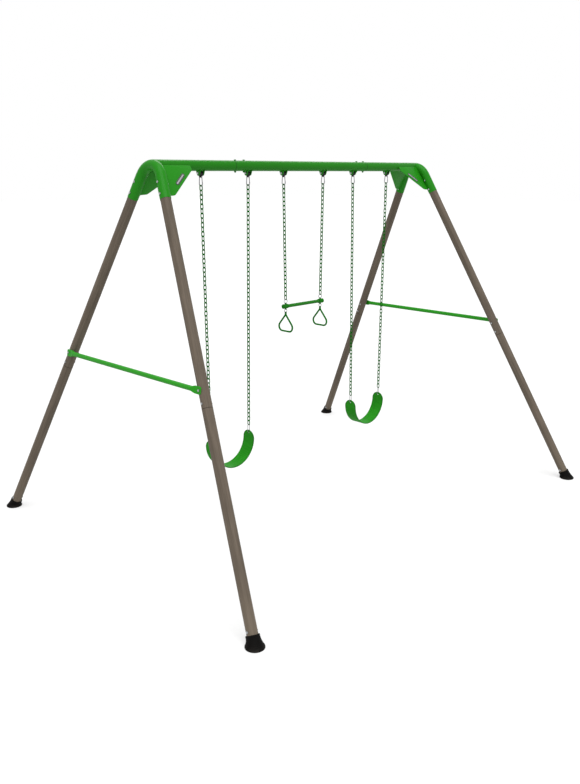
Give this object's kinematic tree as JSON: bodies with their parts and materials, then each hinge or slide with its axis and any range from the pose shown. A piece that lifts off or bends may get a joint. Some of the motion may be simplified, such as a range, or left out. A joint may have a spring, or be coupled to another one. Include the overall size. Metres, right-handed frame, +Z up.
{
  "type": "swing set",
  "caption": "Tubular metal swing set: splayed A-frames under a round top beam, belt seats on chains and a trapeze bar with hanging hand rings between them.",
  "frame": {"origin": "centre of the footprint on the ground", "axes": "+X along the top beam, +Y to the back, +Z up"},
  "size_m": [3.4964, 2.7122, 2.4385],
  "materials": {
    "green_paint": "gloss powder coat",
    "leg_paint": "powder coat with a fine lengthwise grain",
    "zinc": "bright zinc plating",
    "foot_rubber": "matte moulded rubber",
    "plate": "satin, blank, dark rim",
    "black_nylon": "moulded nylon",
    "chain_coat": "dark green plastic coat over steel",
    "belt_green": "flexible belt with fine lengthwise ribs",
    "bar_grip": "gloss green coat",
    "fitting_plastic": "moulded plastic",
    "handle_plastic": "moulded plastic"
  },
  "bodies": {
    "frame": {"arch_left": "green_paint", "arch_right": "green_paint", "upper_leg_left_front": "leg_paint", "upper_leg_left_back": "leg_paint", "upper_leg_right_front": "leg_paint", "upper_leg_right_back": "leg_paint", "lower_leg_left_front": "leg_paint", "lower_leg_left_back": "leg_paint", "lower_leg_right_front": "leg_paint", "lower_leg_right_back": "leg_paint", "foot_left_front": "foot_rubber", "foot_left_back": "foot_rubber", "foot_right_front": "foot_rubber", "foot_right_back": "foot_rubber", "beam_left": "green_paint", "beam_middle": "green_paint", "beam_right": "green_paint", "gusset_left_front": "green_paint", "gusset_left_back": "green_paint", "gusset_right_front": "green_paint", "gusset_right_back": "green_paint", "blank_plates": "plate", "cross_brace_left": "green_paint", "cross_brace_right": "green_paint", "hanger_brackets_left": "green_paint", "hanger_brackets_middle": "green_paint", "hanger_brackets_right": "green_paint", "pivot_bolts": "zinc", "leg_bolts": "zinc", "beam_bolts": "zinc", "brace_bolts": "zinc"},
    "left_swing": {"bearings_left": "black_nylon", "snap_hooks_left": "zinc", "chain_left_outer": "chain_coat", "chain_left_inner": "chain_coat", "seat_links_left": "zinc"},
    "left_seat": {"belt_seat_left": "belt_green"},
    "right_swing": {"bearings_right": "black_nylon", "snap_hooks_right": "zinc", "chain_right_outer": "chain_coat", "chain_right_inner": "chain_coat", "seat_links_right": "zinc"},
    "right_seat": {"belt_seat_right": "belt_green"},
    "trapeze_swing": {"bearings_middle": "black_nylon", "snap_hooks_middle": "zinc", "chain_middle_left": "chain_coat", "chain_middle_right": "chain_coat", "trapeze_rings": "zinc"},
    "trapeze_bar": {"trapeze_bar": "bar_grip", "bar_fittings": "fitting_plastic"},
    "left_handle_ring": {"handle_ring_left": "zinc"},
    "left_handle": {"handle_left": "handle_plastic"},
    "right_handle_ring": {"handle_ring_right": "zinc"},
    "right_handle": {"handle_right": "handle_plastic"},
    "gate_left_outer": {"gate_left_outer": "zinc"},
    "gate_left_inner": {"gate_left_inner": "zinc"},
    "gate_middle_left": {"gate_middle_left": "zinc"},
    "gate_middle_right": {"gate_middle_right": "zinc"},
    "gate_right_inner": {"gate_right_inner": "zinc"},
    "gate_right_outer": {"gate_right_outer": "zinc"}
  },
  "joints": [
    {"name": "left_swing_hinge", "type": "hinge", "parent": "frame", "child": "left_swing", "pos_m": [-0.716, 0, 2.354], "axis": [1, 0, 0], "range_deg": [-60, 60]},
    {"name": "left_seat_tilt", "type": "hinge", "parent": "left_swing", "child": "left_seat", "pos_m": [-0.716, 0, 0.59923], "axis": [1, 0, 0], "range_deg": [-30, 30]},
    {"name": "right_swing_hinge", "type": "hinge", "parent": "frame", "child": "right_swing", "pos_m": [0.716, 0, 2.354], "axis": [1, 0, 0], "range_deg": [-60, 60]},
    {"name": "right_seat_tilt", "type": "hinge", "parent": "right_swing", "child": "right_seat", "pos_m": [0.716, 0, 0.59923], "axis": [1, 0, 0], "range_deg": [-30, 30]},
    {"name": "trapeze_swing_hinge", "type": "hinge", "parent": "frame", "child": "trapeze_swing", "pos_m": [0, 0, 2.354], "axis": [1, 0, 0], "range_deg": [-60, 60]},
    {"name": "trapeze_bar_tilt", "type": "hinge", "parent": "trapeze_swing", "child": "trapeze_bar", "pos_m": [0, 0, 1.46725], "axis": [1, 0, 0], "range_deg": [-30, 30]},
    {"name": "left_handle_swing", "type": "hinge", "parent": "trapeze_bar", "child": "left_handle_ring", "pos_m": [-0.178, 0, 1.42855], "axis": [1, 0, 0], "range_deg": [-70, 70]},
    {"name": "left_handle_sway", "type": "hinge", "parent": "left_handle_ring", "child": "left_handle", "pos_m": [-0.178, 0, 1.4158], "axis": [0, 1, 0], "range_deg": [-25, 25]},
    {"name": "right_handle_swing", "type": "hinge", "parent": "trapeze_bar", "child": "right_handle_ring", "pos_m": [0.178, 0, 1.42855], "axis": [1, 0, 0], "range_deg": [-70, 70]},
    {"name": "right_handle_sway", "type": "hinge", "parent": "right_handle_ring", "child": "right_handle", "pos_m": [0.178, 0, 1.4158], "axis": [0, 1, 0], "range_deg": [-25, 25]},
    {"name": "gate_left_outer_hinge", "type": "hinge", "parent": "left_swing", "child": "gate_left_outer", "pos_m": [-0.91189, -0.01463, 2.29647], "axis": [0.9999, 0, 0.0144], "range_deg": [-35, 0], "stiffness_Nm_per_rad": 0.01},
    {"name": "gate_left_inner_hinge", "type": "hinge", "parent": "left_swing", "child": "gate_left_inner", "pos_m": [-0.52011, -0.01463, 2.29647], "axis": [0.9999, 0, -0.0144], "range_deg": [-35, 0], "stiffness_Nm_per_rad": 0.01},
    {"name": "gate_middle_left_hinge", "type": "hinge", "parent": "trapeze_swing", "child": "gate_middle_left", "pos_m": [-0.1956, -0.01463, 2.29647], "axis": [0.9998, 0, 0.0212], "range_deg": [-35, 0], "stiffness_Nm_per_rad": 0.01},
    {"name": "gate_middle_right_hinge", "type": "hinge", "parent": "trapeze_swing", "child": "gate_middle_right", "pos_m": [0.1956, -0.01463, 2.29647], "axis": [0.9998, 0, -0.0212], "range_deg": [-35, 0], "stiffness_Nm_per_rad": 0.01},
    {"name": "gate_right_inner_hinge", "type": "hinge", "parent": "right_swing", "child": "gate_right_inner", "pos_m": [0.52011, -0.01463, 2.29647], "axis": [0.9999, 0, 0.0144], "range_deg": [-35, 0], "stiffness_Nm_per_rad": 0.01},
    {"name": "gate_right_outer_hinge", "type": "hinge", "parent": "right_swing", "child": "gate_right_outer", "pos_m": [0.91189, -0.01463, 2.29647], "axis": [0.9999, 0, -0.0144], "range_deg": [-35, 0], "stiffness_Nm_per_rad": 0.01}
  ]
}
